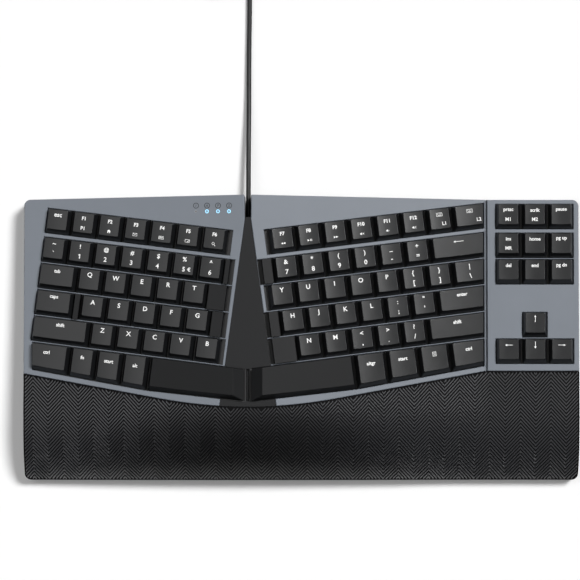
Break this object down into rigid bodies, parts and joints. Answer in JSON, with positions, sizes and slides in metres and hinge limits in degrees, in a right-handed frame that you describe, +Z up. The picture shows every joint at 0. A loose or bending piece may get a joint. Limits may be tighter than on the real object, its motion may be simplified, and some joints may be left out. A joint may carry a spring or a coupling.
{
  "type": "ergonomic keyboard",
  "caption": "Wired keyboard split into two tented halves with a fixed palm rest, sprung keys that press and a coiled cord",
  "frame": {"origin": "on the desk, under the middle of the case as seen from above, cord left out", "axes": "+X to the user's right along the rows, +Y to the back, where the cord leaves, +Z up"},
  "size_m": [0.399, 0.4178, 0.0465],
  "materials": {
    "case_plastic": "fine texture",
    "frame_plastic": "satin, slate grey",
    "cover_plastic": "satin",
    "palm_plastic": "ribbed herringbone texture",
    "key_plastic": "fine matt texture",
    "switch_plastic": "smooth",
    "plate_steel": "black coated sheet",
    "board_laminate": "solder mask",
    "ribbon_film": "film",
    "clear_plastic": "clear",
    "spring_steel": "drawn wire",
    "screw_steel": "black zinc",
    "foot_rubber": "matt",
    "cord_jacket": "satin jacket",
    "shell_steel": "plated",
    "tongue_plastic": "smooth"
  },
  "bodies": {
    "case": {"bottom_case": "case_plastic", "top_frame_left": "frame_plastic", "top_frame_right": "frame_plastic", "top_frame_nav": "frame_plastic", "valley_cover": "cover_plastic", "palm_rest": "palm_plastic", "filler_blocks": "cover_plastic", "switch_plate_left": "plate_steel", "switch_plate_right": "plate_steel", "switch_plate_nav": "plate_steel", "circuit_board_left": "board_laminate", "circuit_board_right": "board_laminate", "circuit_board_nav": "board_laminate", "controller_board": "board_laminate", "status_light_board": "board_laminate", "ribbon_links": "ribbon_film", "light_pipes": "clear_plastic", "switch_bases": "switch_plastic", "switch_covers": "switch_plastic", "key_springs": "spring_steel", "case_screws": "screw_steel", "rubber_feet": "foot_rubber", "strain_relief": "cord_jacket", "cord": "cord_jacket", "cord_coil": "cord_jacket", "usb_plug": "cord_jacket", "usb_shell": "shell_steel", "usb_tongue": "tongue_plastic"},
    "esc_key": {"esc_key": "key_plastic"},
    "function_keys_left": {"function_keys_left": "key_plastic"},
    "number_keys_left": {"number_keys_left": "key_plastic"},
    "tab_key": {"tab_key": "key_plastic"},
    "upper_letters_left": {"upper_letters_left": "key_plastic"},
    "caps_lock_key": {"caps_lock_key": "key_plastic"},
    "home_letters_left": {"home_letters_left": "key_plastic"},
    "shift_key_left": {"shift_key_left": "key_plastic"},
    "lower_letters_left": {"lower_letters_left": "key_plastic"},
    "ctrl_key_left": {"ctrl_key_left": "key_plastic"},
    "modifier_keys_left": {"modifier_keys_left": "key_plastic"},
    "space_bar_left": {"space_bar_left": "key_plastic"},
    "function_keys_right": {"function_keys_right": "key_plastic"},
    "number_keys_right": {"number_keys_right": "key_plastic"},
    "backspace_key": {"backspace_key": "key_plastic"},
    "upper_letters_right": {"upper_letters_right": "key_plastic"},
    "backslash_key": {"backslash_key": "key_plastic"},
    "home_letters_right": {"home_letters_right": "key_plastic"},
    "enter_key": {"enter_key": "key_plastic"},
    "lower_letters_right": {"lower_letters_right": "key_plastic"},
    "shift_key_right": {"shift_key_right": "key_plastic"},
    "space_bar_right": {"space_bar_right": "key_plastic"},
    "modifier_keys_right": {"modifier_keys_right": "key_plastic"},
    "ctrl_key_right": {"ctrl_key_right": "key_plastic"},
    "navigation_keys": {"navigation_keys": "key_plastic"},
    "up_arrow_key": {"up_arrow_key": "key_plastic"},
    "left_arrow_key": {"left_arrow_key": "key_plastic"},
    "down_arrow_key": {"down_arrow_key": "key_plastic"},
    "right_arrow_key": {"right_arrow_key": "key_plastic"}
  },
  "joints": [
    {"name": "esc_key_press", "type": "slide", "parent": "case", "child": "esc_key", "axis": [0.113, -0.052, -0.9922], "range_m": [0, 0.003], "stiffness_N_per_m": 117, "springref_m": -0.003},
    {"name": "function_keys_left_press", "type": "slide", "parent": "case", "child": "function_keys_left", "axis": [0.113, -0.052, -0.9922], "range_m": [0, 0.003], "stiffness_N_per_m": 702, "springref_m": -0.003},
    {"name": "number_keys_left_press", "type": "slide", "parent": "case", "child": "number_keys_left", "axis": [0.113, -0.052, -0.9922], "range_m": [0, 0.003], "stiffness_N_per_m": 819, "springref_m": -0.003},
    {"name": "tab_key_press", "type": "slide", "parent": "case", "child": "tab_key", "axis": [0.113, -0.052, -0.9922], "range_m": [0, 0.003], "stiffness_N_per_m": 117, "springref_m": -0.003},
    {"name": "upper_letters_left_press", "type": "slide", "parent": "case", "child": "upper_letters_left", "axis": [0.113, -0.052, -0.9922], "range_m": [0, 0.003], "stiffness_N_per_m": 585, "springref_m": -0.003},
    {"name": "caps_lock_key_press", "type": "slide", "parent": "case", "child": "caps_lock_key", "axis": [0.113, -0.052, -0.9922], "range_m": [0, 0.003], "stiffness_N_per_m": 117, "springref_m": -0.003},
    {"name": "home_letters_left_press", "type": "slide", "parent": "case", "child": "home_letters_left", "axis": [0.113, -0.052, -0.9922], "range_m": [0, 0.003], "stiffness_N_per_m": 585, "springref_m": -0.003},
    {"name": "shift_key_left_press", "type": "slide", "parent": "case", "child": "shift_key_left", "axis": [0.113, -0.052, -0.9922], "range_m": [0, 0.003], "stiffness_N_per_m": 117, "springref_m": -0.003},
    {"name": "lower_letters_left_press", "type": "slide", "parent": "case", "child": "lower_letters_left", "axis": [0.113, -0.052, -0.9922], "range_m": [0, 0.003], "stiffness_N_per_m": 585, "springref_m": -0.003},
    {"name": "ctrl_key_left_press", "type": "slide", "parent": "case", "child": "ctrl_key_left", "axis": [0.113, -0.052, -0.9922], "range_m": [0, 0.003], "stiffness_N_per_m": 117, "springref_m": -0.003},
    {"name": "modifier_keys_left_press", "type": "slide", "parent": "case", "child": "modifier_keys_left", "axis": [0.113, -0.052, -0.9922], "range_m": [0, 0.003], "stiffness_N_per_m": 351, "springref_m": -0.003},
    {"name": "space_bar_left_press", "type": "slide", "parent": "case", "child": "space_bar_left", "axis": [0.113, -0.052, -0.9922], "range_m": [0, 0.003], "stiffness_N_per_m": 117, "springref_m": -0.003},
    {"name": "function_keys_right_press", "type": "slide", "parent": "case", "child": "function_keys_right", "axis": [-0.113, -0.052, -0.9922], "range_m": [0, 0.003], "stiffness_N_per_m": 936, "springref_m": -0.003},
    {"name": "number_keys_right_press", "type": "slide", "parent": "case", "child": "number_keys_right", "axis": [-0.113, -0.052, -0.9922], "range_m": [0, 0.003], "stiffness_N_per_m": 702, "springref_m": -0.003},
    {"name": "backspace_key_press", "type": "slide", "parent": "case", "child": "backspace_key", "axis": [-0.113, -0.052, -0.9922], "range_m": [0, 0.003], "stiffness_N_per_m": 117, "springref_m": -0.003},
    {"name": "upper_letters_right_press", "type": "slide", "parent": "case", "child": "upper_letters_right", "axis": [-0.113, -0.052, -0.9922], "range_m": [0, 0.003], "stiffness_N_per_m": 819, "springref_m": -0.003},
    {"name": "backslash_key_press", "type": "slide", "parent": "case", "child": "backslash_key", "axis": [-0.113, -0.052, -0.9922], "range_m": [0, 0.003], "stiffness_N_per_m": 117, "springref_m": -0.003},
    {"name": "home_letters_right_press", "type": "slide", "parent": "case", "child": "home_letters_right", "axis": [-0.113, -0.052, -0.9922], "range_m": [0, 0.003], "stiffness_N_per_m": 702, "springref_m": -0.003},
    {"name": "enter_key_press", "type": "slide", "parent": "case", "child": "enter_key", "axis": [-0.113, -0.052, -0.9922], "range_m": [0, 0.003], "stiffness_N_per_m": 117, "springref_m": -0.003},
    {"name": "lower_letters_right_press", "type": "slide", "parent": "case", "child": "lower_letters_right", "axis": [-0.113, -0.052, -0.9922], "range_m": [0, 0.003], "stiffness_N_per_m": 585, "springref_m": -0.003},
    {"name": "shift_key_right_press", "type": "slide", "parent": "case", "child": "shift_key_right", "axis": [-0.113, -0.052, -0.9922], "range_m": [0, 0.003], "stiffness_N_per_m": 117, "springref_m": -0.003},
    {"name": "space_bar_right_press", "type": "slide", "parent": "case", "child": "space_bar_right", "axis": [-0.113, -0.052, -0.9922], "range_m": [0, 0.003], "stiffness_N_per_m": 117, "springref_m": -0.003},
    {"name": "modifier_keys_right_press", "type": "slide", "parent": "case", "child": "modifier_keys_right", "axis": [-0.113, -0.052, -0.9922], "range_m": [0, 0.003], "stiffness_N_per_m": 351, "springref_m": -0.003},
    {"name": "ctrl_key_right_press", "type": "slide", "parent": "case", "child": "ctrl_key_right", "axis": [-0.113, -0.052, -0.9922], "range_m": [0, 0.003], "stiffness_N_per_m": 117, "springref_m": -0.003},
    {"name": "navigation_keys_press", "type": "slide", "parent": "case", "child": "navigation_keys", "axis": [0, -0.0523, -0.9986], "range_m": [0, 0.003], "stiffness_N_per_m": 1053, "springref_m": -0.003},
    {"name": "up_arrow_key_press", "type": "slide", "parent": "case", "child": "up_arrow_key", "axis": [0, -0.0523, -0.9986], "range_m": [0, 0.003], "stiffness_N_per_m": 117, "springref_m": -0.003},
    {"name": "left_arrow_key_press", "type": "slide", "parent": "case", "child": "left_arrow_key", "axis": [0, -0.0523, -0.9986], "range_m": [0, 0.003], "stiffness_N_per_m": 117, "springref_m": -0.003},
    {"name": "down_arrow_key_press", "type": "slide", "parent": "case", "child": "down_arrow_key", "axis": [0, -0.0523, -0.9986], "range_m": [0, 0.003], "stiffness_N_per_m": 117, "springref_m": -0.003},
    {"name": "right_arrow_key_press", "type": "slide", "parent": "case", "child": "right_arrow_key", "axis": [0, -0.0523, -0.9986], "range_m": [0, 0.003], "stiffness_N_per_m": 117, "springref_m": -0.003}
  ]
}
